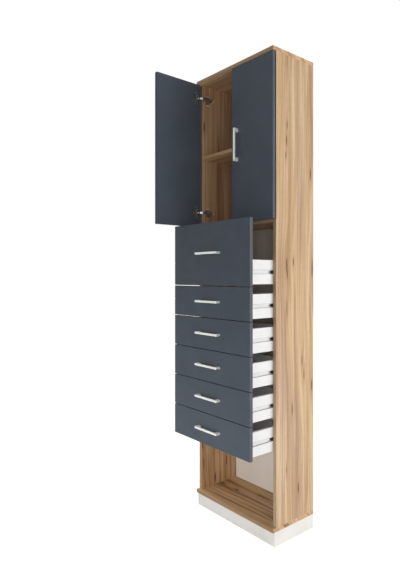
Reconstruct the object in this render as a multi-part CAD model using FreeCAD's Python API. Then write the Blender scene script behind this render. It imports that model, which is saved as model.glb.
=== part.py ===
import FreeCAD, Part
import math
import os

V = FreeCAD.Vector
os.makedirs("parts", exist_ok=True)

# Tall cabinet with two doors, a stack of drawers and an open niche, in millimetres.
# X runs to the right, Y to the back and Z up. The origin is on the floor, in the middle of the
# width and in the plane of the carcase's front edges. The left door stands square open and the
# drawers are pulled out, as photographed.

# Carcase
WIDTH = 500.0
SIDE_DEPTH = 240.0
SIDE_HEIGHT = 1950.0
BOARD = 16.0
EDGE_ROUND = 0.8
PLINTH_HEIGHT = 60.0
NICHE_HEIGHT = 303.0
MIDDLE_LAP = 6.0
BACK = 3.0
BACK_SETIN = 12.0
BACK_GROOVE = 6.0
BACK_PLAY = 0.2
CUT_OVERRUN = 5.0

# Shelf and its pins
SHELF_PLACE_SHARE = 0.4718
SHELF_SETBACK = 6.0
SHELF_PLAY = 0.8
PIN_RADIUS = 2.5
PIN_FLAT = 1.5
PIN_REACH = 8.0
PIN_SINK = 9.0
PIN_INSET = 37.0

# Dowels
DOWEL_RADIUS = 4.0
DOWEL_IN_FACE = 10.0
DOWEL_IN_END = 20.0
DOWEL_INSET = 40.0

# Fronts
FRONT = 16.0
FRONT_STAND = 2.0
FRONT_JOINT = 3.0
FRONT_REVEAL = 1.5
FRONT_PITCH = 137.0
FRONT_PITCH_SHARES = (2, 1, 1, 1, 1, 1)
DOOR_HEAD_GAP = 2.0
DOOR_FOOT_GAP = 5.0

# Drawer boxes
DRAWER_BOARD = 12.0
DRAWER_SIDE_HEIGHT = 98.0
DRAWER_LIFT = 8.0
DRAWER_BACK_GAP = 15.0
DRAWER_SIDE_GAP = 1.5
DRAWER_HOUSING = 5.0
DRAWER_DADO = 4.0
DRAWER_WEB = 1.0
DRAWER_BACK_SETIN = 6.0
DRAWER_BOTTOM = 3.0
DRAWER_BOTTOM_LIFT = 10.0
PULL_OUT = 130.0

# Runner strips and their screws
RUNNER_HEIGHT = 15.0
RUNNER_BACK_GAP = 20.0
RUNNER_STICKOUT = 13.0
RUNNER_NOSE = 14.0
RUNNER_TIP = 3.0
RUNNER_CLEAR = 0.3
RUNNER_END_CLEAR = 0.5
RUNNER_SCREW_INSET = 45.0
RUNNER_SCREW_HEAD = 3.5
RUNNER_SCREW_SHANK = 1.75
RUNNER_SCREW_SINK = 2.0
RUNNER_SCREW_LENGTH = 18.0

# Handles and their screws
HANDLE_HOLES = 128.0
HANDLE_FOOT = 16.0
HANDLE_BAR = 9.0
HANDLE_GRIP = 6.0
HANDLE_STAND = 23.0
HANDLE_CORNER = 2.5
HANDLE_INNER_CORNER = 3.0
HANDLE_EASE = 1.0
HANDLE_EDGE = 37.0
HANDLE_PLACE_SHARE = 0.5125
DOOR_HANDLE_PLACE_SHARE = 0.4956
HANDLE_SCREW_RADIUS = 2.0
HANDLE_SCREW_BITE = 9.0
HANDLE_SCREW_HEAD = 4.2
HANDLE_SCREW_HEAD_HEIGHT = 2.2

# Hinges: cup, pins, link, arm and plate
HINGE_INSET = 68.0
CUP_RADIUS = 17.5
CUP_EDGE = 4.5
CUP_DEPTH = 11.5
CUP_WALL = 1.0
CUP_PIN_INSET = 4.5
CUP_PIN_DEPTH = 2.5
CUP_EAR = 1.0
CUP_EAR_WIDTH = 15.0
CUP_EAR_MARGIN = 6.0
CUP_SCREW_OUT = 6.5
CUP_SCREW_HEAD = 3.2
CUP_SCREW_SHANK = 1.5
CUP_SCREW_SINK = 1.0
CUP_SCREW_LENGTH = 11.0
HINGE_PIN = 1.5
HINGE_PIN_CLEAR = 0.05
HINGE_EYE = 2.6
HINGE_LINK_HEIGHT = 8.0
HINGE_LINK_THICK = 2.4
HINGE_LINK_CRANK = 4.6
HINGE_SIDE_CLEAR = 0.3
HINGE_CHEEK = 2.0
HINGE_OPEN_GAP = 12.0
HINGE_OPEN_STAND = 2.0
ARM_PIN_REACH = 16.0
ARM_THICK = 8.0
ARM_END = 62.0
ARM_SLOT_CLEAR = 0.6
ARM_POCKET = 3.0
ARM_POCKET_DEPTH = 1.5
ARM_POCKET_PITCH = 20.0
PLATE_LINE = 37.0
PLATE_START = 12.0
PLATE_WING = 2.5
PLATE_WING_DEPTH = 18.0
PLATE_WING_MARGIN = 8.0
PLATE_SCREW_SPAN = 32.0
PLATE_SCREW_HEAD = 4.0
PLATE_SCREW_SHANK = 2.0
PLATE_SCREW_SINK = 2.0
PLATE_SCREW_LENGTH = 14.0

# Opening angles at rest
LEFT_REST_ANGLE = 90.0
RIGHT_REST_ANGLE = 0.0
QUARTER_TURN = 90.0

# Planes and levels that several pieces share
HALF = WIDTH / 2
INNER = HALF - BOARD
OVERHANG = FRONT + FRONT_STAND
FRONT_BACK = -FRONT_STAND
FRONT_FACE = -OVERHANG
BACK_FACE = SIDE_DEPTH - BACK_SETIN - BACK
Z_FLOOR = PLINTH_HEIGHT + BOARD
Z_TOP = Z_FLOOR + SIDE_HEIGHT
Z_STACK = Z_FLOOR + NICHE_HEIGHT
Z_STACK_TOP = Z_STACK + FRONT_PITCH * sum(FRONT_PITCH_SHARES) - FRONT_JOINT
Z_MIDDLE = Z_STACK_TOP - MIDDLE_LAP
Z_SHELF = Z_MIDDLE + BOARD + (Z_TOP - Z_MIDDLE - BOARD) * SHELF_PLACE_SHARE
Z_DOOR = Z_STACK_TOP + DOOR_FOOT_GAP
Z_DOOR_TOP = Z_TOP - DOOR_HEAD_GAP
Z_DOOR_HANDLE = Z_DOOR + (Z_DOOR_TOP - Z_DOOR) * DOOR_HANDLE_PLACE_SHARE
HINGE_LEVELS = (Z_DOOR + HINGE_INSET, Z_DOOR_TOP - HINGE_INSET)
DRAWER_OUTER = INNER - DRAWER_SIDE_GAP
DRAWER_INNER = DRAWER_OUTER - DRAWER_BOARD
DRAWER_END = BACK_FACE - DRAWER_BACK_GAP
RUNNER_GROOVE = DRAWER_BOARD - DRAWER_DADO - DRAWER_WEB
RUNNER_REACH = DRAWER_SIDE_GAP + RUNNER_GROOVE - RUNNER_END_CLEAR
RUNNER_END = BACK_FACE - RUNNER_BACK_GAP


def box(x0, x1, y0, y1, z0, z1):
    return Part.makeBox(x1 - x0, y1 - y0, z1 - z0, V(x0, y0, z0))


def board(x0, x1, y0, y1, z0, z1):
    plain = box(x0, x1, y0, y1, z0, z1)
    return plain.makeFillet(EDGE_ROUND, plain.Edges)


def rod(radius, start, end):
    run = end - start
    return Part.makeCylinder(radius, run.Length, start, run)


def screw(seat, run, head, shank, sink, length):
    """A countersunk screw whose head lies flush at seat and whose shank follows run."""
    cone = Part.makeCone(head, shank, sink, seat, run)
    stem = rod(shank, seat + run * sink, seat + run * length)
    return cone.fuse(stem).removeSplitter()


def mirrored(shapes):
    return [shape.mirror(V(0, 0, 0), V(1, 0, 0)) for shape in shapes]


def write(node, shapes):
    solids = []
    for shape in shapes:
        solids.extend(shape.Solids)
    joined = solids[0] if len(solids) == 1 else Part.makeCompound(solids)
    joined.exportStep("parts/" + node + ".step")


def cut_all(shape, tools):
    for tool in tools:
        shape = shape.cut(tool)
    return shape


# Hidden joinery and small fixings that are cut out of the boards

dowel_rows = (DOWEL_INSET, BACK_FACE - DOWEL_INSET)
panel_middle = INNER + BOARD / 2
side_dowels = []
for x in (-panel_middle, panel_middle):
    for y in dowel_rows:
        head = V(x, y, Z_TOP)
        foot = V(x, y, Z_FLOOR)
        side_dowels.append(rod(DOWEL_RADIUS, head - V(0, 0, DOWEL_IN_END), head + V(0, 0, DOWEL_IN_FACE)))
        side_dowels.append(rod(DOWEL_RADIUS, foot - V(0, 0, DOWEL_IN_FACE), foot + V(0, 0, DOWEL_IN_END)))
middle_dowels = []
for side in (-1, 1):
    for y in dowel_rows:
        level = Z_MIDDLE + BOARD / 2
        start = V(side * (INNER - DOWEL_IN_END), y, level)
        middle_dowels.append(rod(DOWEL_RADIUS, start, V(side * (INNER + DOWEL_IN_FACE), y, level)))
plinth_rear = SIDE_DEPTH - BOARD
plinth_dowels = []
for x in (-HALF + DOWEL_INSET, HALF - DOWEL_INSET):
    for y in (0, plinth_rear + BOARD / 2):
        start = V(x, y, PLINTH_HEIGHT - DOWEL_IN_END)
        plinth_dowels.append(rod(DOWEL_RADIUS, start, V(x, y, PLINTH_HEIGHT + DOWEL_IN_FACE)))
dowels = side_dowels + middle_dowels + plinth_dowels

pins = []
pin_holes = []
for side in (-1, 1):
    for y in (SHELF_SETBACK + PIN_INSET, BACK_FACE - PIN_INSET):
        level = Z_SHELF - PIN_FLAT
        hole = rod(PIN_RADIUS, V(side * INNER, y, level), V(side * (INNER + PIN_SINK), y, level))
        peg = rod(PIN_RADIUS, V(side * (INNER - PIN_REACH), y, level), V(side * INNER, y, level))
        shaved = box(-HALF, HALF, y - PIN_RADIUS, y + PIN_RADIUS, Z_SHELF, Z_SHELF + PIN_RADIUS)
        pin_holes.append(hole)
        pins.append(peg.cut(shaved).fuse(hole).removeSplitter())

front_levels = []
level = Z_STACK_TOP + FRONT_JOINT
for share in FRONT_PITCH_SHARES:
    level = level - FRONT_PITCH * share
    front_levels.append((level, level + FRONT_PITCH * share - FRONT_JOINT))

# Runner strips: a bar along each side panel at every drawer, pointed at its front end
strips_right = []
screws_right = []
for low, high in front_levels:
    middle = low + DRAWER_LIFT + DRAWER_SIDE_HEIGHT / 2
    y0 = -RUNNER_STICKOUT
    y1 = RUNNER_END
    nose_end = y0 + RUNNER_NOSE
    half = RUNNER_HEIGHT / 2
    tip = RUNNER_TIP / 2
    outline = [V(INNER, y0, middle - tip), V(INNER, nose_end, middle - half), V(INNER, y1, middle - half),
               V(INNER, y1, middle + half), V(INNER, nose_end, middle + half), V(INNER, y0, middle + tip)]
    strip = Part.Face(Part.makePolygon(outline + outline[:1])).extrude(V(-RUNNER_REACH, 0, 0))
    for y in (y0 + RUNNER_SCREW_INSET, y1 - RUNNER_SCREW_INSET):
        seat = V(INNER - RUNNER_REACH, y, middle)
        fixing = screw(seat, V(1, 0, 0), RUNNER_SCREW_HEAD, RUNNER_SCREW_SHANK, RUNNER_SCREW_SINK,
                       RUNNER_SCREW_LENGTH)
        strip = strip.cut(fixing)
        screws_right.append(fixing)
    strips_right.append(strip)
strips_left = mirrored(strips_right)
screws_left = mirrored(screws_right)

# Hinges. In plan the left hinge is worked out from the side panel's inner face and front edge.
# A link joins a pin in the arm to a pin in the cup, and turns evenly with the door.

DOOR_EDGE = -HALF + FRONT_REVEAL
cup_x = DOOR_EDGE + CUP_EDGE + CUP_RADIUS
cup_pin = V(DOOR_EDGE + CUP_EDGE + CUP_PIN_INSET, FRONT_BACK - CUP_PIN_DEPTH, 0)
corner = V(DOOR_EDGE, FRONT_BACK, 0)
corner_square = V(-INNER + HINGE_OPEN_STAND, -HINGE_OPEN_GAP, 0)


def turned(point, centre, degrees):
    return centre + FreeCAD.Rotation(V(0, 0, 1), degrees).multVec(point - centre)


cup_pin_square = corner_square - (turned(corner, cup_pin, -QUARTER_TURN) - cup_pin)
halfway = (cup_pin + cup_pin_square) / 2
travel = cup_pin_square - cup_pin
arm_x = -INNER + ARM_PIN_REACH
arm_pin = V(arm_x, halfway.y - (arm_x - halfway.x) * travel.x / travel.y, 0)
link_closed = cup_pin - arm_pin
link_square = cup_pin_square - arm_pin
link_turn = math.degrees(link_closed.getAngle(link_square))


def swing_link(shape, angle):
    moved = shape.copy()
    moved.rotate(arm_pin, V(0, 0, 1), link_turn * angle / QUARTER_TURN)
    return moved


def swing_door(shape, angle):
    moved = shape.copy()
    moved.rotate(cup_pin, V(0, 0, 1), -angle)
    moved.translate(turned(cup_pin, arm_pin, link_turn * angle / QUARTER_TURN) - cup_pin)
    return moved


def stretch(start, end, width, low, high):
    """A flat bar between two plan points, from level low to level high."""
    run = end - start
    aside = V(-run.y, run.x, 0).normalize() * (width / 2)
    lift = V(0, 0, low)
    ring = [start + aside + lift, end + aside + lift, end - aside + lift, start - aside + lift]
    return Part.Face(Part.makePolygon(ring + ring[:1])).extrude(V(0, 0, high - low))


half_link = HINGE_LINK_HEIGHT / 2
half_slot = half_link + HINGE_SIDE_CLEAR
half_fork = half_slot + HINGE_CHEEK
arm_back = arm_x - ARM_THICK / 2
arm_front = arm_x + ARM_THICK / 2
slot_end = arm_pin.y + HINGE_EYE + ARM_SLOT_CLEAR
elbow = (arm_pin + cup_pin) / 2 + V(-link_closed.y, link_closed.x, 0).normalize() * HINGE_LINK_CRANK

arms, plates, plate_screws, links, cups, cup_screws, cup_bodies = [], [], [], [], [], [], []
for level in HINGE_LEVELS:
    # arm: a bar that ends in a fork around its pin
    nose = Part.makeCylinder(ARM_THICK / 2, half_fork + half_fork, arm_pin + V(0, 0, level - half_fork))
    arm = box(arm_back, arm_front, arm_pin.y, ARM_END, level - half_fork, level + half_fork).fuse(nose)
    slot = box(arm_back - CUT_OVERRUN, arm_front + CUT_OVERRUN, arm_pin.y - ARM_THICK, slot_end,
               level - half_slot, level + half_slot)
    arm_axle = rod(HINGE_PIN, arm_pin + V(0, 0, level - half_fork), arm_pin + V(0, 0, level + half_fork))
    arm = arm.cut(slot).cut(arm_axle).removeSplitter()
    for y in (PLATE_LINE - ARM_POCKET_PITCH / 2, PLATE_LINE + ARM_POCKET_PITCH / 2):
        pocket_floor = V(arm_front - ARM_POCKET_DEPTH, y, level)
        arm = arm.cut(rod(ARM_POCKET, pocket_floor, V(arm_front + CUT_OVERRUN, y, level)))
    arms.extend([arm, arm_axle])
    # plate: a block under the arm with two wings screwed to the side panel
    block = box(-INNER, arm_back, PLATE_START, ARM_END, level - half_fork, level + half_fork)
    reach = PLATE_SCREW_SPAN / 2 + PLATE_WING_MARGIN
    half_wing = PLATE_WING_DEPTH / 2
    wing = box(-INNER, -INNER + PLATE_WING, PLATE_LINE - half_wing, PLATE_LINE + half_wing,
               level - reach, level + reach)
    plate = block.fuse(wing).removeSplitter()
    for side in (-1, 1):
        seat = V(-INNER + PLATE_WING, PLATE_LINE, level + side * PLATE_SCREW_SPAN / 2)
        fixing = screw(seat, V(-1, 0, 0), PLATE_SCREW_HEAD, PLATE_SCREW_SHANK, PLATE_SCREW_SINK,
                       PLATE_SCREW_LENGTH)
        plate = plate.cut(fixing)
        plate_screws.append(fixing)
    plates.append(plate)
    # link: a cranked bar with an eye at each end
    low, high = level - half_link, level + half_link
    link = stretch(arm_pin, elbow, HINGE_LINK_THICK, low, high)
    link = link.fuse(stretch(elbow, cup_pin, HINGE_LINK_THICK, low, high))
    for point, radius in ((arm_pin, HINGE_EYE), (cup_pin, HINGE_EYE), (elbow, HINGE_LINK_THICK / 2)):
        link = link.fuse(Part.makeCylinder(radius, high - low, point + V(0, 0, low)))
    for point in (arm_pin, cup_pin):
        link = link.cut(Part.makeCylinder(HINGE_PIN + HINGE_PIN_CLEAR, high - low, point + V(0, 0, low)))
    links.append(link.removeSplitter())
    # cup: a pot let into the door, with two lugs that hold its pin and two ears with screws
    face = V(cup_x, FRONT_BACK, level)
    pot = rod(CUP_RADIUS, face, face - V(0, CUP_DEPTH, 0))
    cup_bodies.append(pot)
    ear_reach = CUP_RADIUS + CUP_SCREW_OUT + CUP_EAR_MARGIN
    ear = box(cup_x - CUP_EAR_WIDTH / 2, cup_x + CUP_EAR_WIDTH / 2, FRONT_BACK, FRONT_BACK + CUP_EAR,
              level - ear_reach, level + ear_reach)
    hollow = rod(CUP_RADIUS - CUP_WALL, face + V(0, CUT_OVERRUN, 0), face - V(0, CUP_DEPTH - CUP_WALL, 0))
    cup = pot.fuse(ear).cut(hollow)
    lug_floor = FRONT_BACK - CUP_DEPTH + CUP_WALL / 2
    for side in (-1, 1):
        near = level + side * half_slot
        far = level + side * half_fork
        lug = box(cup_pin.x - HINGE_EYE, cup_pin.x + HINGE_EYE, lug_floor, FRONT_BACK,
                  min(near, far), max(near, far))
        cup = cup.fuse(lug)
        seat = V(cup_x, FRONT_BACK + CUP_EAR, level + side * (CUP_RADIUS + CUP_SCREW_OUT))
        fixing = screw(seat, V(0, -1, 0), CUP_SCREW_HEAD, CUP_SCREW_SHANK, CUP_SCREW_SINK, CUP_SCREW_LENGTH)
        cup = cup.cut(fixing)
        cup_screws.append(fixing)
    cup_axle = rod(HINGE_PIN, cup_pin + V(0, 0, level - half_fork), cup_pin + V(0, 0, level + half_fork))
    cups.extend([cup.cut(cup_axle).removeSplitter(), cup_axle])


# Carcase boards

groove_end = INNER + BACK_GROOVE
groove_back = BACK_FACE + BACK + BACK_PLAY


def side_panel(side):
    x0, x1 = sorted((side * INNER, side * HALF))
    panel = board(x0, x1, 0, SIDE_DEPTH, Z_FLOOR, Z_TOP)
    g0, g1 = sorted((side * INNER, side * groove_end))
    groove = box(g0, g1, BACK_FACE, groove_back, Z_FLOOR - CUT_OVERRUN, Z_TOP + CUT_OVERRUN)
    tools = [groove] + side_dowels + middle_dowels + pin_holes
    tools += plate_screws + mirrored(plate_screws) + screws_left + screws_right
    return cut_all(panel, [tool for tool in tools if tool.BoundBox.Center.x * side > 0])


top_board = board(-HALF, HALF, FRONT_FACE, SIDE_DEPTH, Z_TOP, Z_TOP + BOARD)
top_groove = box(-groove_end, groove_end, BACK_FACE, groove_back, Z_TOP, Z_TOP + BACK_GROOVE)
bottom_board = board(-HALF, HALF, FRONT_FACE, SIDE_DEPTH, PLINTH_HEIGHT, Z_FLOOR)
bottom_groove = box(-groove_end, groove_end, BACK_FACE, groove_back, Z_FLOOR - BACK_GROOVE, Z_FLOOR)
middle_board = board(-INNER, INNER, 0, BACK_FACE, Z_MIDDLE, Z_MIDDLE + BOARD)
shelf_half = INNER - SHELF_PLAY
shelf = board(-shelf_half, shelf_half, SHELF_SETBACK, BACK_FACE - SHELF_PLAY, Z_SHELF, Z_SHELF + BOARD)
back_reach = BACK_GROOVE - BACK_PLAY
back_panel = box(-INNER - back_reach, INNER + back_reach, BACK_FACE, BACK_FACE + BACK,
                 Z_FLOOR - back_reach, Z_TOP + back_reach)
write("top_board", [cut_all(top_board, [top_groove] + side_dowels)])
write("bottom_board", [cut_all(bottom_board, [bottom_groove] + side_dowels + plinth_dowels)])
write("left_side_panel", [side_panel(-1)])
write("right_side_panel", [side_panel(1)])
write("middle_board", [cut_all(middle_board, middle_dowels)])
write("shelf", [shelf])
write("back_panel", [back_panel])
write("dowels", dowels)
write("shelf_pins", pins)
write("left_runner_strips", strips_left)
write("right_runner_strips", strips_right)
write("runner_screws", screws_left + screws_right)

# Plinth: front and back rail over the full width, side rails between them
rail_back = BOARD / 2
plinth_front = board(-HALF, HALF, -rail_back, rail_back, 0, PLINTH_HEIGHT)
plinth_back = board(-HALF, HALF, plinth_rear, SIDE_DEPTH, 0, PLINTH_HEIGHT)
write("plinth_front_rail", [cut_all(plinth_front, plinth_dowels)])
write("plinth_back_rail", [cut_all(plinth_back, plinth_dowels)])
write("plinth_left_rail", [board(-HALF, -INNER, rail_back, plinth_rear, 0, PLINTH_HEIGHT)])
write("plinth_right_rail", [board(INNER, HALF, rail_back, plinth_rear, 0, PLINTH_HEIGHT)])


def front_corners(shape, plane):
    """The upright edges of a block that lie in front of a plane across Y."""
    picked = []
    for edge in shape.Edges:
        extent = edge.BoundBox
        if extent.ZLength > extent.XLength + extent.YLength and edge.CenterOfMass.y < plane:
            picked.append(edge)
    return picked


def handle():
    """A bow handle lying along X, its foot faces in the plane y = 0 and its bar towards -Y."""
    end = HANDLE_HOLES / 2 + HANDLE_FOOT / 2
    gap_end = HANDLE_HOLES / 2 - HANDLE_FOOT / 2
    outer = box(-end, end, -HANDLE_STAND, 0, -HANDLE_BAR / 2, HANDLE_BAR / 2)
    outer = outer.makeFillet(HANDLE_CORNER, front_corners(outer, -HANDLE_GRIP))
    gap = box(-gap_end, gap_end, HANDLE_GRIP - HANDLE_STAND, CUT_OVERRUN, -HANDLE_BAR, HANDLE_BAR)
    gap = gap.makeFillet(HANDLE_INNER_CORNER, front_corners(gap, 0))
    bow = outer.cut(gap)
    rims = [edge for edge in bow.Edges if abs(edge.CenterOfMass.z) > HANDLE_BAR / 4]
    return bow.makeFillet(HANDLE_EASE, [edge for edge in rims if edge.CenterOfMass.y < -HANDLE_EASE])


BOW = handle()


def handle_screws():
    fixings = []
    for x in (-HANDLE_HOLES / 2, HANDLE_HOLES / 2):
        shank = rod(HANDLE_SCREW_RADIUS, V(x, -HANDLE_SCREW_BITE, 0), V(x, FRONT, 0))
        head = rod(HANDLE_SCREW_HEAD, V(x, FRONT, 0), V(x, FRONT + HANDLE_SCREW_HEAD_HEIGHT, 0))
        fixings.append(shank.fuse(head).removeSplitter())
    return fixings


def place_handle(place, upright):
    """The bow and its two screws at a place on a front's outer face."""
    fixings = handle_screws()
    pieces = [cut_all(BOW, fixings)] + fixings
    moved = []
    for piece in pieces:
        copy = piece.copy()
        if upright:
            copy.rotate(V(0, 0, 0), V(0, 1, 0), QUARTER_TURN)
        copy.translate(place)
        moved.append(copy)
    return moved


# Doors, built closed on the left, then swung open or mirrored

free_edge = -FRONT_JOINT / 2
door_handle = place_handle(V(free_edge - HANDLE_EDGE, FRONT_FACE, Z_DOOR_HANDLE), True)
door = board(DOOR_EDGE, free_edge, FRONT_FACE, FRONT_BACK, Z_DOOR, Z_DOOR_TOP)
door = cut_all(door, cup_bodies + cup_screws + door_handle[1:])
write("left_door", [swing_door(door, LEFT_REST_ANGLE)])
write("left_door_handle", [swing_door(piece, LEFT_REST_ANGLE) for piece in door_handle])
write("left_hinge_cups", [swing_door(piece, LEFT_REST_ANGLE) for piece in cups + cup_screws])
write("left_hinge_links", [swing_link(piece, LEFT_REST_ANGLE) for piece in links])
write("right_door", mirrored([swing_door(door, RIGHT_REST_ANGLE)]))
write("right_door_handle", mirrored([swing_door(piece, RIGHT_REST_ANGLE) for piece in door_handle]))
write("right_hinge_cups", mirrored([swing_door(piece, RIGHT_REST_ANGLE) for piece in cups + cup_screws]))
write("right_hinge_links", mirrored([swing_link(piece, RIGHT_REST_ANGLE) for piece in links]))
write("hinge_arms", arms + mirrored(arms))
write("hinge_plates", plates + mirrored(plates))
write("hinge_plate_screws", plate_screws + mirrored(plate_screws))


# Drawers, built closed and then pulled out

def drawer(number, low, high):
    name = "drawer_" + str(number) + "_"
    base = low + DRAWER_LIFT
    rim = base + DRAWER_SIDE_HEIGHT
    bottom_low = base + DRAWER_BOTTOM_LIFT
    bottom_high = bottom_low + DRAWER_BOTTOM
    groove_mid = base + DRAWER_SIDE_HEIGHT / 2
    groove_half = RUNNER_HEIGHT / 2 + RUNNER_CLEAR
    groove_floor = DRAWER_OUTER - RUNNER_GROOVE
    tongue = FRONT_BACK - DRAWER_HOUSING
    back_rear = DRAWER_END - DRAWER_BACK_SETIN
    bottom_reach = DRAWER_INNER + DRAWER_HOUSING
    bottom = box(-bottom_reach, bottom_reach, tongue, DRAWER_END, bottom_low, bottom_high)
    rear_reach = DRAWER_INNER + DRAWER_DADO
    rear = box(-rear_reach, rear_reach, back_rear - DRAWER_BOARD, back_rear, bottom_high, rim)
    right = box(DRAWER_INNER, DRAWER_OUTER, tongue, DRAWER_END, base, rim)
    pocket_end = -RUNNER_STICKOUT - RUNNER_END_CLEAR
    channel = box(groove_floor, DRAWER_OUTER + CUT_OVERRUN, pocket_end, DRAWER_END + CUT_OVERRUN,
                  groove_mid - groove_half, groove_mid + groove_half)
    # the strips' noses run into pockets in the back of the shut front
    pocket = box(groove_floor, INNER + RUNNER_END_CLEAR, pocket_end, FRONT_BACK,
                 groove_mid - groove_half, groove_mid + groove_half)
    right = cut_all(right, [channel, bottom, rear])
    sides = [right] + mirrored([right])
    pull = place_handle(V(0, FRONT_FACE, low + (high - low) * HANDLE_PLACE_SHARE), False)
    front = board(-HALF + FRONT_REVEAL, HALF - FRONT_REVEAL, FRONT_FACE, FRONT_BACK, low, high)
    front = cut_all(front, [bottom, pocket] + mirrored([pocket]) + sides + pull[1:])
    groups = {"front": [front], "sides": sides, "back": [rear], "bottom": [bottom], "handle": pull}
    for part, shapes in groups.items():
        out = [shape.copy() for shape in shapes]
        for shape in out:
            shape.translate(V(0, -PULL_OUT, 0))
        write(name + part, out)


for index, (low, high) in enumerate(front_levels):
    drawer(index + 1, low, high)
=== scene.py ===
import math

import bpy
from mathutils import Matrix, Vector


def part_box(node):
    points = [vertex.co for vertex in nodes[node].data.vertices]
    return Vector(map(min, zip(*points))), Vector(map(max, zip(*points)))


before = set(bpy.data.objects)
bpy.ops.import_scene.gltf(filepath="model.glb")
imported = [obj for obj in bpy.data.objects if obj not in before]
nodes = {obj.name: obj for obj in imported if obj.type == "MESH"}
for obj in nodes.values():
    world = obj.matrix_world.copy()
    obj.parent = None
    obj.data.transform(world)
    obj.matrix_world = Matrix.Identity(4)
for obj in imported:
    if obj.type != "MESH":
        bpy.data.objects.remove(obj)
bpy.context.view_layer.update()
scene = bpy.context.scene
scene.view_settings.view_transform = "Standard"

MM = 0.001
DRAWERS = range(1, 7)
PLAIN = (1.0, 1.0, 1.0, 1.0)

# Kinds of noise: detail and roughness
BLOBS = (1.0, 0.5)
SMOOTH = (2.0, 0.5)
GRAINY = (2.0, 0.55)
FINE = (2.0, 0.6)
CLOUDY = (3.0, 0.5)
FIBROUS = (3.0, 0.6)
SCUFFED = (4.0, 0.6)
# The part of a noise's range over which roughness changes
NOISE_MIDDLE = (0.3, 0.7)
# Where a mix node has its colours
COLOUR_INPUTS = (6, 7)
COLOUR_OUTPUT = 2


def rgb(red, green, blue):
    """A colour from sRGB bytes, as a colour picker shows them."""
    linear = []
    for byte in (red, green, blue):
        part = byte / 255
        linear.append(part / 12.92 if part <= 0.04045 else ((part + 0.055) / 1.055) ** 2.4)
    return (*linear, 1.0)


class Nodes:
    """A node tree under construction, with short calls for the nodes used below."""

    def __init__(self, tree):
        self.tree = tree
        tree.nodes.clear()

    def put(self, value, socket):
        """Link a socket or set its value; None leaves it as it is."""
        if isinstance(value, bpy.types.NodeSocket):
            self.tree.links.new(value, socket)
        elif value is not None:
            socket.default_value = value

    def add(self, kind, *values, **settings):
        """A new node, with values or links on its first inputs."""
        node = self.tree.nodes.new(kind)
        for key, value in settings.items():
            setattr(node, key, value)
        for value, socket in zip(values, node.inputs):
            self.put(value, socket)
        return node

    def math(self, operation, a, b=None):
        return self.add("ShaderNodeMath", a, b, operation=operation).outputs[0]

    def apart(self, a, b):
        return self.math("ABSOLUTE", self.math("SUBTRACT", a, b))

    def scaled(self, a, factor, offset=0.0):
        return self.add("ShaderNodeMath", a, factor, offset, operation="MULTIPLY_ADD").outputs[0]

    def vectors(self, operation, a, b=None):
        return self.add("ShaderNodeVectorMath", a, b, operation=operation)

    def split(self, vector):
        return tuple(self.add("ShaderNodeSeparateXYZ", vector).outputs)

    def shader_of(self, kind, *values):
        return self.add(kind, *values).outputs[0]

    def seen(self):
        """One where a ray comes from the camera, a mirror or glass, which see the pale background."""
        path = self.add("ShaderNodeLightPath")
        total = path.outputs["Is Camera Ray"]
        for name in ("Is Glossy Ray", "Is Transmission Ray"):
            total = self.math("MAXIMUM", total, path.outputs[name])
        return total


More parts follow.
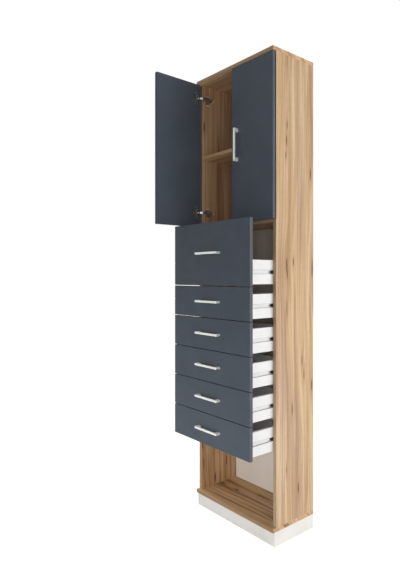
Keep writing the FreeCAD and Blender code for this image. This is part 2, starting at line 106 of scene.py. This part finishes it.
class Surface(Nodes):
    """A material with one shader for all of its surface."""

    def __init__(self, name, **sockets):
        self.material = bpy.data.materials.new(name)
        self.material.use_nodes = True
        super().__init__(self.material.node_tree)
        self.shader = self.add("ShaderNodeBsdfPrincipled")
        for socket, value in sockets.items():
            self.set(socket.replace("_", " "), value)
        self.add("ShaderNodeOutputMaterial", self.shader.outputs[0])

    def set(self, socket, value):
        self.put(value, self.shader.inputs[socket])

    def paint(self, factor, colour):
        """Lay a colour over the base colour that is already linked."""
        base = self.shader.inputs["Base Color"].links[0].from_socket
        self.set("Base Color", self.mix(factor, base, colour))

    def dress(self, *names):
        for name in names:
            slots = nodes[name].data.materials
            slots.clear()
            slots.append(self.material)

    def place(self):
        """The point at rest, in metres; it rides with its body."""
        return self.add("ShaderNodeTexCoord").outputs["Object"]

    def join(self, x, y, z=0.0):
        return self.add("ShaderNodeCombineXYZ", x, y, z).outputs[0]

    def noise(self, vector, scale, kind=SMOOTH):
        node = self.add("ShaderNodeTexNoise", vector)
        for socket, value in zip(("Scale", "Detail", "Roughness"), (scale, *kind)):
            node.inputs[socket].default_value = value
        return node.outputs[0]

    def reach(self, vector, centre, halves):
        """Distance from a centre, counted in half lengths along each axis."""
        off = self.vectors("SUBTRACT", vector, centre).outputs[0]
        even = self.vectors("DIVIDE", off, halves).outputs[0]
        return self.vectors("LENGTH", even).outputs["Value"]

    def span(self, value, low, high, to_low=0.0, to_high=1.0):
        """value between low and high, eased into to_low and to_high."""
        ends = (value, low, high, to_low, to_high)
        return self.add("ShaderNodeMapRange", *ends, interpolation_type="SMOOTHSTEP").outputs[0]

    def roughen(self, value, low, high, start=NOISE_MIDDLE[0], end=NOISE_MIDDLE[1]):
        self.set("Roughness", self.span(value, start, end, low, high))

    def mix(self, factor, a, b, blend="MIX"):
        node = self.add("ShaderNodeMix", factor, data_type="RGBA", blend_type=blend)
        for value, socket in zip((a, b), COLOUR_INPUTS):
            self.put(value, node.inputs[socket])
        return node.outputs[COLOUR_OUTPUT]

    def tint(self, colour, value, tint, shade):
        """The colour going over to a shade; a tint is where it starts, where it is full and its strength."""
        start, full, strength = tint
        return self.mix(self.span(value, start, full, 0.0, strength), colour, shade)

    def ramp(self, factor, low, low_colour, high, high_colour):
        node = self.add("ShaderNodeValToRGB", factor)
        stops = ((low, low_colour), (high, high_colour))
        for element, (position, colour) in zip(node.color_ramp.elements, stops):
            element.position = position
            element.color = colour
        return node.outputs[0]

    def bump(self, height, depth, strength):
        node = self.add("ShaderNodeBump")
        for socket, value in (("Strength", strength), ("Distance", depth), ("Height", height)):
            self.put(value, node.inputs[socket])
        self.set("Normal", node.outputs[0])

    def edges(self, place, low, high):
        """Distance from a point of a box's surface to the nearest edge, and to the faces across each axis."""
        gaps = []
        for value, near, far in zip(self.split(place), low, high):
            gaps.append(self.math("SUBTRACT", (far - near) / 2, self.apart(value, (near + far) / 2)))
        a, b, c = gaps
        least = self.math("MINIMUM", a, b)
        most = self.math("MAXIMUM", a, b)
        return self.math("MAXIMUM", least, self.math("MINIMUM", most, c)), gaps


# Oak decor: planks, bands, streaks and pores along the grain, with dark cracks and knots

OAK_GOLD = rgb(212, 179, 136)
OAK_LIGHT = rgb(234, 206, 168)
OAK_BROWN = rgb(182, 143, 103)
OAK_MAUVE = rgb(192, 160, 136)
OAK_DEEP = rgb(140, 96, 68)
OAK_CRACK = rgb(92, 63, 46)
# painted bounce light: the boards seen in shade take this warmer tone, and the lit right side panel keeps its
# plain tone
SHADE_WARMTH = (1.06, 1.0, 0.95, 1.0)
OAK_SPECULAR = 0.3
OAK_ROUGHNESS = (0.46, 0.62)

# Layers of the grain: stretch along it, step of the seed, scale across it and kind of noise
PLANK_LAYER = (0.05, 0.0, 11.0, SMOOTH)
BAND_LAYER = (0.03, 1.7, 46.0, GRAINY)
STREAK_LAYER = (0.012, 3.1, 150.0, FIBROUS)
PORE_LAYER = (0.03, 5.7, 950.0, GRAINY)

# Tints by these layers; how strong the deep bands are differs from board to board
MAUVE_PLANKS = (0.47, 0.60, 0.75)
LIGHT_BANDS = (0.50, 0.66, 0.70)
BROWN_BANDS = (0.48, 0.30, 0.70)
DEEP_BANDS = (0.46, 0.34)
BROWN_STREAKS = (0.50, 0.66, 0.70)
LIGHT_STREAKS = (0.46, 0.28, 0.60)
DARK_PORES = (0.56, 0.72, 0.30)

# Small knots in some cells of a grid, frayed and with the grain bent round them
KNOT_CELLS = (13.0, 1.9)
KNOT_REACH = 16.0
KNOT_CHANCE = (0.70, 0.60)
KNOT_FAR = 9.0
KNOT_BEND = (6.0, 0.5, 0.0, 6 * MM)
FRAY_SCALE = (70.0, 14.0)
FRAY_SIZE = 1.2
SWAY_SCALE = (1.4, 4.0)
SWAY_SIZE = 45 * MM
HALO = (3.4, 0.6)
HALO_STRENGTH = 0.55
CRACK = (1.05, 0.45)
CRACK_STRENGTH = 0.85

# Bands on the front edges, some painted lighter or darker as painted light and shade, the seams behind them,
# and wear along all edges
OAK_BAND = rgb(172, 144, 117)
# painted light: the shelf's front edge band is painted lighter
LIT_OAK_BAND = rgb(206, 170, 131)
# painted shade: the bottom board's front edge band is painted darker
SHADED_OAK_BAND = rgb(150, 121, 95)
# painted shade: the side panels' front edges are darkened over the height of the door that shades them
DOOR_SHADE_BAND = rgb(42, 44, 49)
OAK_EDGING = 0.8 * MM
OAK_BAND_STRENGTH = 0.85
SEAM = 0.22 * MM
OAK_SEAM_STRENGTH = 0.6
OAK_WEAR = (1.6 * MM, 0.3 * MM, 0.0, 0.30)
WORN_STREAKS = (0.35, 0.6)

# Relief: how much streaks, pores and cracks count, how deep it is and how strong
STREAK_RELIEF = 0.5
PORE_RELIEF = 0.6
CRACK_RELIEF = 0.8
OAK_BUMP = (0.25 * MM, 0.5)


def oak(name, grain, seed, marks=(), tone=PLAIN, deep=0.5, band=OAK_BAND, behind=None):
    """A board with its grain along X or Z. Each mark is a crack or knot: its place across and along the
    grain, its half width and half length, in millimetres. The front edge carries a band; over the height
    of the door that closes on it, painted shade darkens the band."""
    s = Surface("oak_" + name, Specular_IOR_Level=OAK_SPECULAR)
    place = s.place()
    x, y, z = s.split(place)
    run, depth = (z, x) if grain == "Z" else (x, z)
    across = s.math("ADD", y, depth)

    # distance from the nearest crack or knot, in its own half lengths
    cell = s.add("ShaderNodeTexVoronoi", voronoi_dimensions="2D")
    cell.inputs["Scale"].default_value = 1.0
    grid = s.join(s.scaled(y, KNOT_CELLS[0], seed), s.scaled(run, KNOT_CELLS[1], seed))
    s.put(grid, cell.inputs["Vector"])
    chance = s.split(cell.outputs["Color"])[0]
    left_out = s.span(chance, *KNOT_CHANCE, 0.0, KNOT_FAR)
    near = s.math("ADD", s.scaled(cell.outputs["Distance"], KNOT_REACH), left_out)
    for side, along, half_width, half_length in marks:
        centre = (side * MM, along * MM, 0)
        halves = (half_width * MM, half_length * MM, 1)
        near = s.math("MINIMUM", near, s.reach(s.join(y, run), centre, halves))

    # the grain's layers, along lines that sway and bend round the knots
    sway = s.noise(s.join(s.scaled(run, SWAY_SCALE[0]), s.scaled(across, SWAY_SCALE[1]), seed), 1.0)
    bent = s.math("ADD", across, s.scaled(sway, SWAY_SIZE))
    bent = s.math("ADD", bent, s.span(near, *KNOT_BEND))
    planks, bands, streaks, pores = (
        s.noise(s.join(bent, s.scaled(run, stretch), seed + step), scale, kind)
        for stretch, step, scale, kind in (PLANK_LAYER, BAND_LAYER, STREAK_LAYER, PORE_LAYER)
    )
    colour = OAK_GOLD
    for layer, tint, shade in (
        (planks, MAUVE_PLANKS, OAK_MAUVE),
        (bands, LIGHT_BANDS, OAK_LIGHT),
        (bands, BROWN_BANDS, OAK_BROWN),
        (bands, (*DEEP_BANDS, deep), OAK_DEEP),
        (streaks, BROWN_STREAKS, OAK_BROWN),
        (streaks, LIGHT_STREAKS, OAK_LIGHT),
        (pores, DARK_PORES, OAK_CRACK),
    ):
        colour = s.tint(colour, layer, tint, shade)

    # cracks and knots
    ragged = s.join(s.scaled(y, FRAY_SCALE[0]), s.scaled(run, FRAY_SCALE[1]), seed)
    fray = s.noise(ragged, 1.0, FIBROUS)
    frayed = s.math("ADD", near, s.scaled(fray, FRAY_SIZE, -FRAY_SIZE / 2))
    halo = s.span(frayed, *HALO)
    crack = s.span(frayed, *CRACK)
    colour = s.mix(s.scaled(halo, HALO_STRENGTH), colour, OAK_BROWN)
    colour = s.mix(s.scaled(crack, CRACK_STRENGTH), colour, OAK_CRACK)

    # band, seam and wear
    low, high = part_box(name)
    strip = s.math("SUBTRACT", y, low.y)
    colour = s.tint(colour, strip, (OAK_EDGING + SEAM, OAK_EDGING, OAK_BAND_STRENGTH), band)
    colour = s.tint(colour, s.apart(strip, OAK_EDGING), (SEAM, 0.0, OAK_SEAM_STRENGTH), OAK_CRACK)
    worn = s.span(s.edges(place, low, high)[0], *OAK_WEAR)
    colour = s.mix(s.math("MULTIPLY", worn, s.span(streaks, *WORN_STREAKS)), colour, OAK_LIGHT)
    # the tone multiplies the colour; the warm tone paints the hue of bounce light onto the boards seen in
    # shade
    colour = s.mix(1.0, colour, tone, "MULTIPLY")
    # painted shade on the front edge band over the height of the door
    if behind:
        foot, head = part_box(behind)
        above, below = s.math("GREATER_THAN", z, foot.z), s.math("LESS_THAN", z, head.z)
        ahead = s.span(strip, OAK_EDGING + SEAM, OAK_EDGING)
        door_shaded = s.math("MULTIPLY", s.math("MULTIPLY", above, below), ahead)
        colour = s.mix(door_shaded, colour, DOOR_SHADE_BAND)

    s.set("Base Color", colour)
    s.roughen(streaks, *OAK_ROUGHNESS)
    hollows = s.math("ADD", s.scaled(pores, PORE_RELIEF), s.scaled(crack, CRACK_RELIEF))
    s.bump(s.math("SUBTRACT", s.scaled(streaks, STREAK_RELIEF), hollows), *OAK_BUMP)
    s.dress(name)


LEFT_MARKS = ((86, 110, 6, 30), (14, 192, 4, 34))
RIGHT_MARKS = (
    (67, 1734, 3, 30), (60, 1607, 3, 20), (65, 1146, 6, 46), (107, 1164, 4, 20), (232, 1142, 6, 66),
    (66, 965, 4, 50), (163, 742, 3, 26), (176, 683, 3, 26), (100, 545, 4, 30), (64, 298, 3, 18),
)
BOTTOM_MARKS = ((124, -119, 8, 18), (122, -221, 7, 26), (165, 17, 7, 60))
oak("left_side_panel", "Z", seed=2.7, marks=LEFT_MARKS, tone=SHADE_WARMTH, behind="left_door")
oak("right_side_panel", "Z", seed=7.0, marks=RIGHT_MARKS, deep=0.15, behind="right_door")
oak("top_board", "X", seed=11.3, tone=SHADE_WARMTH)
oak("bottom_board", "X", seed=15.6, marks=BOTTOM_MARKS, tone=SHADE_WARMTH, deep=0.8, band=SHADED_OAK_BAND)
oak("middle_board", "X", seed=19.9, tone=SHADE_WARMTH)
oak("shelf", "X", seed=24.2, tone=SHADE_WARMTH, band=LIT_OAK_BAND)

# Graphite fronts: a matt laminate with edging strips

GRAPHITE = rgb(91, 99, 109)
GRAPHITE_DARK = rgb(86, 94, 104)
GRAPHITE_WORN = rgb(118, 126, 136)
FRONT_EDGING = (1.12, 1.04, 0.98, 1.0)
# painted shade: the open left door's narrow sides are darkened
SHADED_EDGING = (0.62, 0.62, 0.62, 1.0)
GRAPHITE_SPECULAR = 0.14
GRAPHITE_ROUGHNESS = (0.46, 0.58)
GRAPHITE_CLOUD, GRAPHITE_GRAIN, RUBBED_SCALE, HANDLED_SCALE = 7.0, 900.0, 45.0, 26.0
CLOUD_STOPS = (0.35, 0.65)
GRAIN_TINT = (0.35, 0.7, 0.35)
RUBBED_PATCHES = (0.4, 0.65)
RUBBED_EDGE = (1.2 * MM, 0.2 * MM, 0.0, 0.55)
BROAD_FACE = (0.5 * MM, 0.3 * MM)
EDGING = 1.1 * MM
FRONT_SEAM_STRENGTH = 0.6
GRAIN_RELIEF = 0.4
GRAPHITE_BUMP = (0.12 * MM, 0.5)


def graphite(name, edging, thick=1):
    """A front or door whose thickness lies along the axis thick; edging tints its narrow sides, and on the
    left door it is painted shade.
    """
    s = Surface("graphite_" + name, Specular_IOR_Level=GRAPHITE_SPECULAR)
    place = s.place()
    cloud = s.noise(place, GRAPHITE_CLOUD, CLOUDY)
    grain = s.noise(place, GRAPHITE_GRAIN, FINE)
    edge, gaps = s.edges(place, *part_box(name))
    colour = s.ramp(cloud, CLOUD_STOPS[0], GRAPHITE_DARK, CLOUD_STOPS[1], GRAPHITE)
    colour = s.tint(colour, grain, GRAIN_TINT, GRAPHITE_DARK)
    patchy = s.span(s.noise(place, RUBBED_SCALE, CLOUDY), *RUBBED_PATCHES)
    colour = s.mix(s.math("MULTIPLY", s.span(edge, *RUBBED_EDGE), patchy), colour, GRAPHITE_WORN)
    seam = s.math("MULTIPLY", s.span(gaps[thick], *BROAD_FACE), s.span(s.apart(edge, EDGING), SEAM, 0.0))
    colour = s.mix(s.scaled(seam, FRONT_SEAM_STRENGTH), colour, GRAPHITE_DARK, "MULTIPLY")
    narrow = s.span(gaps[thick], *reversed(BROAD_FACE))
    colour = s.mix(narrow, colour, edging, "MULTIPLY")
    s.set("Base Color", colour)
    s.roughen(s.noise(place, HANDLED_SCALE, CLOUDY), *GRAPHITE_ROUGHNESS)
    s.bump(s.math("SUBTRACT", s.scaled(grain, GRAIN_RELIEF), seam), *GRAPHITE_BUMP)
    s.dress(name)


for number in DRAWERS:
    graphite(f"drawer_{number}_front", FRONT_EDGING)
graphite("right_door", FRONT_EDGING)
# the left door's narrow sides take painted shade
graphite("left_door", SHADED_EDGING, thick=0)

# White drawer boxes

WHITE = rgb(246, 246, 245)
WHITE_SHADE = rgb(237, 237, 236)
WHITE_SPECULAR = 0.3
WHITE_ROUGHNESS = (0.42, 0.55)
WHITE_FINE, WHITE_CLOUD = 1100.0, 11.0
WHITE_CLOUD_TINT = (0.35, 0.75, 0.5)
WHITE_FINE_TINT = (0.5, 0.8, 0.4)
WHITE_BUMP = (0.08 * MM, 0.4)
GROOVE_HALF = 7.8 * MM
GROOVE_DEPTH = 6.5 * MM
# painted shade along the rims of the runner groove
GROOVE_RIM_SHADE = rgb(160, 160, 158)
RIM_SHADE_WIDTH = (1.0 * MM, 0.4 * MM)


def white_board(name, sides=None):
    """White board; on drawer sides painted shade darkens the rims and corners of the runner groove a little.
    """
    s = Surface("white_" + name, Specular_IOR_Level=WHITE_SPECULAR)
    place = s.place()
    fine = s.noise(place, WHITE_FINE, FINE)
    cloud = s.noise(place, WHITE_CLOUD, CLOUDY)
    colour = s.tint(WHITE, cloud, WHITE_CLOUD_TINT, WHITE_SHADE)
    colour = s.tint(colour, fine, WHITE_FINE_TINT, WHITE_SHADE)
    if sides:
        low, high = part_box(sides)
        x, _, z = s.split(place)
        rim = s.apart(s.apart(z, (low.z + high.z) / 2), GROOVE_HALF)
        outside = s.math("GREATER_THAN", s.math("ABSOLUTE", x), high.x - GROOVE_DEPTH)
        # painted shade: a darker line along the groove's rims on the outer part of the side
        colour = s.mix(s.math("MULTIPLY", outside, s.span(rim, *RIM_SHADE_WIDTH)), colour, GROOVE_RIM_SHADE)
    s.set("Base Color", colour)
    s.roughen(cloud, *WHITE_ROUGHNESS)
    s.bump(fine, *WHITE_BUMP)
    return s


inner_white = white_board("drawer_board")
for number in DRAWERS:
    drawer_sides = f"drawer_{number}_sides"
    inner_white.dress(f"drawer_{number}_back", f"drawer_{number}_bottom")
    white_board(drawer_sides, drawer_sides).dress(drawer_sides)

# Pale back panel, with painted shade in its corners along the side panels and the bottom board

BACK = rgb(236, 229, 219)
BACK_SHADE = rgb(230, 222, 211)
BACK_SPECULAR = 0.25
BACK_ROUGHNESS = (0.52, 0.66)
BACK_STRETCH = 0.3
BACK_FLOW, BACK_FINE = 9.0, 900.0
BACK_FLOW_SEED, BACK_FINE_SEED = 8.0, 2.0
FLOW_STOPS = (0.32, 0.66)
BACK_FINE_TINT = (0.52, 0.75, 0.35)
# painted shade in the corners where the back panel meets the side panels and the bottom board
BACK_CORNER_SHADE = 6 * MM
BACK_CORNER_SHADE_STRENGTH = 0.8
CORNER_SHADE = rgb(82, 66, 52)
BACK_BUMP = (0.1 * MM, 0.4)


def back_board():
    s = Surface("pale_back_panel", Specular_IOR_Level=BACK_SPECULAR)
    x, _, z = s.split(s.place())
    flow = s.noise(s.join(x, s.scaled(z, BACK_STRETCH), BACK_FLOW_SEED), BACK_FLOW)
    fine = s.noise(s.join(x, s.scaled(z, BACK_STRETCH), BACK_FINE_SEED), BACK_FINE, FINE)
    colour = s.ramp(flow, FLOW_STOPS[0], BACK_SHADE, FLOW_STOPS[1], BACK)
    colour = s.tint(colour, fine, BACK_FINE_TINT, BACK_SHADE)
    side = s.apart(s.math("ABSOLUTE", x), -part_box("left_side_panel")[1].x)
    rise = s.apart(z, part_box("bottom_board")[1].z)
    # painted shade: darker within a few millimetres of the side panels and the bottom board
    colour = s.tint(colour, s.math("MINIMUM", side, rise), (BACK_CORNER_SHADE, 0.0, BACK_CORNER_SHADE_STRENGTH), CORNER_SHADE)
    s.set("Base Color", colour)
    s.roughen(flow, *BACK_ROUGHNESS)
    s.bump(fine, *BACK_BUMP)
    s.dress("back_panel")


back_board()

# Pale plinth, scuffed near the floor

PLINTH = rgb(248, 246, 242)
PLINTH_SHADE = rgb(238, 236, 231)
PLINTH_SCUFF = rgb(190, 186, 178)
PLINTH_SPECULAR = 0.3
PLINTH_ROUGHNESS = (0.45, 0.6)
PLINTH_CLOUD, PLINTH_FINE, SCUFF_SCALE = 9.0, 900.0, 60.0
PLINTH_TINT = (0.35, 0.75, 0.7)
SCUFF_HEIGHT = (28 * MM, 2 * MM)
SCUFF_PATCHES = (0.45, 0.75)
SCUFF_STRENGTH = 0.35
PLINTH_BUMP = (0.08 * MM, 0.4)


def plinth_board():
    s = Surface("pale_plinth", Specular_IOR_Level=PLINTH_SPECULAR)
    place = s.place()
    cloud = s.noise(place, PLINTH_CLOUD, CLOUDY)
    patches = s.span(s.noise(place, SCUFF_SCALE, SCUFFED), *SCUFF_PATCHES)
    scuff = s.math("MULTIPLY", s.span(s.split(place)[2], *SCUFF_HEIGHT), patches)
    colour = s.tint(PLINTH, cloud, PLINTH_TINT, PLINTH_SHADE)
    s.set("Base Color", s.mix(s.scaled(scuff, SCUFF_STRENGTH), colour, PLINTH_SCUFF))
    s.roughen(cloud, *PLINTH_ROUGHNESS)
    s.bump(s.noise(place, PLINTH_FINE, FINE), *PLINTH_BUMP)
    s.dress(*(f"plinth_{side}_rail" for side in ("front", "back", "left", "right")))


plinth_board()

# Metal: brushed handles, plated hinges and screws

BRUSH_SCALE, TARNISH_SCALE = 2600.0, 55.0
BRUSH_RANGE = (0.25, 0.75)
TARNISH_STOPS = (0.3, 0.7)
PLATING_DEPTH = 0.02 * MM
METAL_BUMP_STRENGTH = 0.35


def metal(name, bright, dull, brushing, roughness, depth=PLATING_DEPTH, metallic=1.0):
    """Plated metal with faint tarnish; brushing is how fast its marks change along each axis."""
    s = Surface(name, Metallic=metallic)
    place = s.place()
    brushed = s.noise(s.vectors("MULTIPLY", place, brushing).outputs[0], BRUSH_SCALE, FINE)
    cloud = s.noise(place, TARNISH_SCALE, CLOUDY)
    average = s.math("ADD", s.scaled(brushed, 0.5), s.scaled(cloud, 0.5))
    s.set("Base Color", s.ramp(average, TARNISH_STOPS[0], dull, TARNISH_STOPS[1], bright))
    s.roughen(brushed, *roughness, *BRUSH_RANGE)
    s.bump(brushed, depth, METAL_BUMP_STRENGTH)
    return s


NICKEL = rgb(234, 234, 231)
NICKEL_DULL = rgb(218, 217, 214)
NICKEL_ROUGHNESS = (0.70, 0.84)
NICKEL_DEPTH = 0.03 * MM
LEVEL_BRUSHING = (0.03, 1.0, 1.0)
UPRIGHT_BRUSHING = (1.0, 1.0, 0.03)
HEAD_SHOW = 0.1 * MM


def handle_metal(name, brushing, axis, front, *handles):
    """Satin nickel; the screw heads on the front's back, along an axis, are painted like the front."""
    s = metal("satin_nickel_" + name, NICKEL, NICKEL_DULL, brushing, NICKEL_ROUGHNESS, NICKEL_DEPTH)
    head_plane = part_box(front)[1][axis] + HEAD_SHOW
    head = s.math("GREATER_THAN", s.split(s.place())[axis], head_plane)
    s.paint(head, GRAPHITE_DARK)
    s.set("Metallic", s.scaled(head, -1.0, 1.0))
    s.dress(*handles)


handle_metal("level", LEVEL_BRUSHING, 1, "drawer_1_front", *(f"drawer_{n}_handle" for n in DRAWERS))
handle_metal("right", UPRIGHT_BRUSHING, 1, "right_door", "right_door_handle")
handle_metal("left", UPRIGHT_BRUSHING, 0, "left_door", "left_door_handle")

PLATED = rgb(210, 210, 208)
PLATED_DULL = rgb(180, 180, 178)
MOUNT = rgb(190, 186, 180)
MOUNT_DULL = rgb(140, 136, 130)
HINGE_BRUSHING = (1.0, 0.2, 1.0)
HINGE_ROUGHNESS = (0.20, 0.36)
links = metal("plated_hinge_steel", PLATED, PLATED_DULL, HINGE_BRUSHING, HINGE_ROUGHNESS)
links.dress("left_hinge_links", "right_hinge_links")

# painted highlight: a pale, non-metallic glint colour for the hinge plates and arms
PAINTED_GLINT = rgb(246, 233, 224)
PLATE_HALF = 24 * MM
WING_TIP = PLATE_HALF - 6 * MM
TAIL = 9 * MM
END_BLUR = 2 * MM
GLINT_SCALE = 150.0
GLINT_SPOTS = (0.54, 0.64, 0.0, 0.6)


def hinge_metal(node):
    """Plated steel with painted highlights: pale glints in spots, on the tips of the plates' wings and on the
    tails of the arms.
    """
    s = metal("plated_" + node, MOUNT, MOUNT_DULL, HINGE_BRUSHING, HINGE_ROUGHNESS)
    _, y, z = s.split(s.place())
    low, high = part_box("hinge_plates")
    off = s.apart(s.apart(z, (low.z + high.z) / 2), (high.z - low.z) / 2 - PLATE_HALF)
    tip = s.span(off, WING_TIP, WING_TIP + END_BLUR)
    tail = s.span(y, high.y - TAIL, high.y - TAIL + END_BLUR)
    glint_spots = s.span(s.noise(s.place(), GLINT_SCALE, BLOBS), *GLINT_SPOTS)
    glint = s.math("MAXIMUM", s.math("MAXIMUM", tip, tail), glint_spots)
    # painted highlights laid on as pale diffuse colour
    s.paint(glint, PAINTED_GLINT)
    s.set("Metallic", s.scaled(glint, -1.0, 1.0))
    s.dress(node)


hinge_metal("hinge_plates")
hinge_metal("hinge_arms")

# painted shade: the cup steel is darkened; painted highlight: the pale lines along its ears
CUP_PAINTED_SHADE = rgb(124, 124, 120)
CUP_PAINTED_SHADE_DULL = rgb(104, 104, 100)
CUP_HIGHLIGHT = rgb(232, 231, 224)
CUP_ROUGHNESS = (0.26, 0.42)
CUP_METALLIC = 0.5
EAR_HALF = 8.0 * MM
HIGHLIGHT_WIDTH = (1.4 * MM, 0.5 * MM)
EVEN = (1.0, 1.0, 1.0)


def cup_metal(side, axis):
    """Cup steel painted dark as painted shade, with brighter lines along the ears as painted highlights; axis
    runs across them.
    """
    node = side + "_hinge_cups"
    s = metal("plated_cup_steel_" + side, CUP_PAINTED_SHADE, CUP_PAINTED_SHADE_DULL, EVEN, CUP_ROUGHNESS, metallic=CUP_METALLIC)
    low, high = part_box(node)
    off = s.apart(s.split(s.place())[axis], (low[axis] + high[axis]) / 2)
    # painted highlights along the edges of the ears
    s.paint(s.span(s.apart(off, EAR_HALF), *HIGHLIGHT_WIDTH), CUP_HIGHLIGHT)
    s.dress(node)


cup_metal("left", 1)
cup_metal("right", 0)

ZINC = rgb(196, 197, 194)
ZINC_DULL = rgb(160, 162, 160)
ZINC_BRUSHING = (1.0, 1.0, 0.4)
ZINC_ROUGHNESS = (0.30, 0.48)
zinc = metal("zinc_plated_steel", ZINC, ZINC_DULL, ZINC_BRUSHING, ZINC_ROUGHNESS)
zinc.dress("shelf_pins", "runner_screws", "hinge_plate_screws")

# Black runner strips and the beech dowels inside the boards

RUNNER = rgb(34, 34, 35)
RUNNER_SHEEN = rgb(52, 52, 54)
RUNNER_SPECULAR = 0.4
RUNNER_ROUGHNESS = (0.36, 0.55, 0.35, 0.7)
DRAWN_SCALE, RUB_SCALE = 1400.0, 120.0
DRAWN_STRETCH, RUB_STRETCH = 0.04, 0.2
RUB_TINT = (0.4, 0.7)
RUNNER_BUMP = (0.06 * MM, 0.4)


def runner_plastic():
    s = Surface("black_runner_plastic", Specular_IOR_Level=RUNNER_SPECULAR)
    x, y, z = s.split(s.place())
    drawn = s.noise(s.join(x, s.scaled(y, DRAWN_STRETCH), z), DRAWN_SCALE, FINE)
    rub = s.noise(s.join(x, s.scaled(y, RUB_STRETCH), z), RUB_SCALE, CLOUDY)
    s.set("Base Color", s.mix(s.span(rub, *RUB_TINT), RUNNER, RUNNER_SHEEN))
    s.roughen(rub, *RUNNER_ROUGHNESS)
    s.bump(drawn, *RUNNER_BUMP)
    s.dress("left_runner_strips", "right_runner_strips")


runner_plastic()

BEECH = rgb(214, 178, 132)
BEECH_DARK = rgb(188, 150, 106)
BEECH_SPECULAR = 0.3
BEECH_ROUGHNESS = (0.5, 0.7)
FLECK_SCALE = 420.0
FLECK_STOPS = (0.35, 0.65)
BEECH_BUMP = (0.1 * MM, 0.4)


def beech():
    s = Surface("beech_dowels", Specular_IOR_Level=BEECH_SPECULAR)
    fleck = s.noise(s.place(), FLECK_SCALE, FIBROUS)
    s.set("Base Color", s.ramp(fleck, FLECK_STOPS[0], BEECH_DARK, FLECK_STOPS[1], BEECH))
    s.roughen(fleck, *BEECH_ROUGHNESS)
    s.bump(fleck, *BEECH_BUMP)
    s.dress("dowels")


beech()

# Floor: it lights the object as a pale floor does, and glows for the rays that see the background

FLOOR_HALF = 9.0
FLOOR_DROP = 0.5 * MM
FLOOR_COLOUR = (0.78, 0.78, 0.77, 1.0)
FLOOR_SHADE_COLOUR = (0.58, 0.58, 0.58, 1.0)
FLOOR_GLOW = 0.78

floor_mesh = bpy.data.meshes.new("floor")
corners = [(x * FLOOR_HALF, y * FLOOR_HALF, 0) for x, y in ((-1, -1), (1, -1), (1, 1), (-1, 1))]
floor_mesh.from_pydata(corners, [], [(0, 1, 2, 3)])
floor = bpy.data.objects.new("floor", floor_mesh)
scene.collection.objects.link(floor)
floor.location.z = -FLOOR_DROP
pale_floor = bpy.data.materials.new("pale_floor")
pale_floor.use_nodes = True
ground = Nodes(pale_floor.node_tree)
lit = ground.shader_of("ShaderNodeBsdfDiffuse", FLOOR_COLOUR)
shaded = ground.shader_of("ShaderNodeBsdfDiffuse", FLOOR_SHADE_COLOUR)
glow = ground.shader_of("ShaderNodeEmission", None, FLOOR_GLOW)
glowing = ground.shader_of("ShaderNodeAddShader", shaded, glow)
chosen = ground.shader_of("ShaderNodeMixShader", ground.seen(), lit, glowing)
ground.add("ShaderNodeOutputMaterial", chosen)
floor_mesh.materials.append(pale_floor)

# Soft light from all round, of its own strength for each main direction, and a white background

AMBIENT = {"+X": 0.04, "-X": 0.36, "+Y": 0.40, "-Y": 0.17, "+Z": 0.76}
BACKGROUND = 1.0

world = bpy.data.worlds.new("studio")
scene.world = world
world.use_nodes = True
sky = Nodes(world.node_tree)
axes = sky.split(sky.add("ShaderNodeTexCoord").outputs["Generated"])
level = 0.0
for (sign, axis), strength in AMBIENT.items():
    facing = sky.math("MULTIPLY", axes["XYZ".index(axis)], 1.0 if sign == "+" else -1.0)
    ahead = sky.math("MAXIMUM", facing, 0.0)
    level = sky.scaled(sky.math("MULTIPLY", ahead, ahead), strength, level)
dim = sky.shader_of("ShaderNodeBackground", PLAIN, level)
bright = sky.shader_of("ShaderNodeBackground", PLAIN, BACKGROUND)
chosen = sky.shader_of("ShaderNodeMixShader", sky.seen(), dim, bright)
sky.add("ShaderNodeOutputWorld", chosen)


def lamp(name, place, aim, size, watts, spread=180):
    """A soft panel of light, aimed at a point; spread is in degrees."""
    data = bpy.data.lights.new(name, "AREA")
    data.shape = "RECTANGLE"
    data.size, data.size_y = size
    data.energy = watts
    data.spread = math.radians(spread)
    light = bpy.data.objects.new(name, data)
    light.location = place
    light.rotation_euler = (Vector(aim) - Vector(place)).to_track_quat("-Z", "Y").to_euler()
    light.visible_camera = False
    scene.collection.objects.link(light)


lamp("key", (3.3, 1.85, 0.9), aim=(0.0, 0.0, 0.95), size=(2.2, 2.4), watts=63.0)
lamp("right_side", (3.7, 0.3, 1.1), aim=(0.0, 0.0, 1.0), size=(1.6, 2.2), watts=12.0)
lamp("right_front", (3.3, -1.0, 1.0), aim=(0.0, 0.0, 0.95), size=(0.9, 2.0), watts=6.0)
lamp("left_side", (-3.0, 0.25, 0.95), aim=(0.0, -0.05, 0.95), size=(0.8, 1.6), watts=5.0, spread=60)
lamp("low_front", (0.5, -2.5, 0.22), aim=(0.0, 0.0, 0.18), size=(1.6, 0.35), watts=1.9, spread=45)
lamp("front_fill", (1.75, -1.6, 1.15), aim=(0.0, 0.0, 1.0), size=(0.5, 0.7), watts=4.0)

# The photograph's camera: level, looking to the left and back, in a frame of 400 by 570 pixels

FRAME_WIDTH, FRAME_HEIGHT = 400, 570
FOCAL_PIXELS = 489.39
AXIS_X, AXIS_Y = 212.05, 275.69
SENSOR_WIDTH = 36.0
CAMERA_PLACE = (1.6087, -1.4847, 1.1063)
CAMERA_TURN = (90, 0, 49.92)

camera_data = bpy.data.cameras.new("photo_camera")
camera_data.sensor_width = SENSOR_WIDTH
camera_data.lens = FOCAL_PIXELS * SENSOR_WIDTH / FRAME_HEIGHT
camera_data.shift_x = (FRAME_WIDTH / 2 - AXIS_X) / FRAME_HEIGHT
camera_data.shift_y = (AXIS_Y - FRAME_HEIGHT / 2) / FRAME_HEIGHT
camera = bpy.data.objects.new("photo_camera", camera_data)
camera.location = CAMERA_PLACE
camera.rotation_euler = [math.radians(angle) for angle in CAMERA_TURN]
scene.collection.objects.link(camera)
scene.camera = camera
